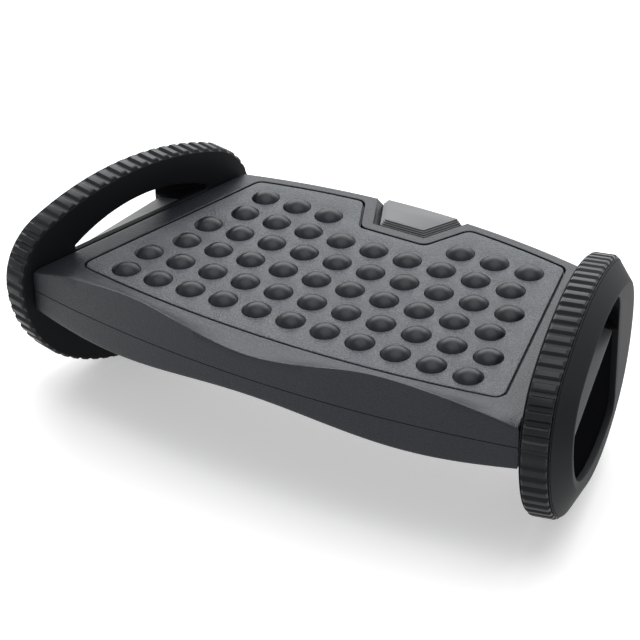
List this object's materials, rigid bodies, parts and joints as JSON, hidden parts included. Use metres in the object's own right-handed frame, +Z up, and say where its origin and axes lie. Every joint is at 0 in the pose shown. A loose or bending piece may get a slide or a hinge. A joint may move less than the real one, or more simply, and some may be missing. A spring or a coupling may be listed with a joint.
{
  "type": "adjustable footrest",
  "caption": "Wide studded foot platform with raised heel lips, carried between oval ribbed wheels with handle holes; each wheel turns on a friction hub to set the tilt and height.",
  "frame": {"origin": "on the floor, midway between the two wheels and below the hub line", "axes": "+X from the left wheel to the right wheel, +Y from the heel side to the toe side of the platform, +Z up from the floor"},
  "size_m": [0.4562, 0.24, 0.1552],
  "materials": {
    "shell": "fine grain",
    "mat": "leather grain",
    "dome": "satin",
    "badge": "smooth",
    "wheel": "satin",
    "tyre": "matt",
    "bush": "smooth",
    "friction": "matt",
    "steel": "zinc plated"
  },
  "bodies": {
    "platform": {"top_shell": "shell", "base_shell": "shell", "foot_mat": "mat", "massage_dome_sheet": "dome", "badge_block": "badge", "shell_screws": "steel", "right_hub_bush": "bush", "left_hub_bush": "bush", "right_friction_disc": "friction", "left_friction_disc": "friction", "right_stop_pin": "steel", "left_stop_pin": "steel"},
    "right_wheel": {"right_wheel_body": "wheel", "right_wheel_cover": "wheel", "right_tyre": "tyre", "right_cover_screws": "steel", "right_spring_washer": "steel", "right_retaining_washer": "steel", "right_hub_screw": "steel"},
    "left_wheel": {"left_wheel_body": "wheel", "left_wheel_cover": "wheel", "left_tyre": "tyre", "left_cover_screws": "steel", "left_spring_washer": "steel", "left_retaining_washer": "steel", "left_hub_screw": "steel"}
  },
  "joints": [
    {"name": "right_wheel_turn", "type": "hinge", "parent": "platform", "child": "right_wheel", "pos_m": [0.1727, 0, 0.09528], "axis": [0.972, 0.2351, 0], "range_deg": [-20, 20]},
    {"name": "left_wheel_turn", "type": "hinge", "parent": "platform", "child": "left_wheel", "pos_m": [-0.1727, 0, 0.09528], "axis": [0.972, -0.2351, 0], "range_deg": [-20, 20]}
  ]
}
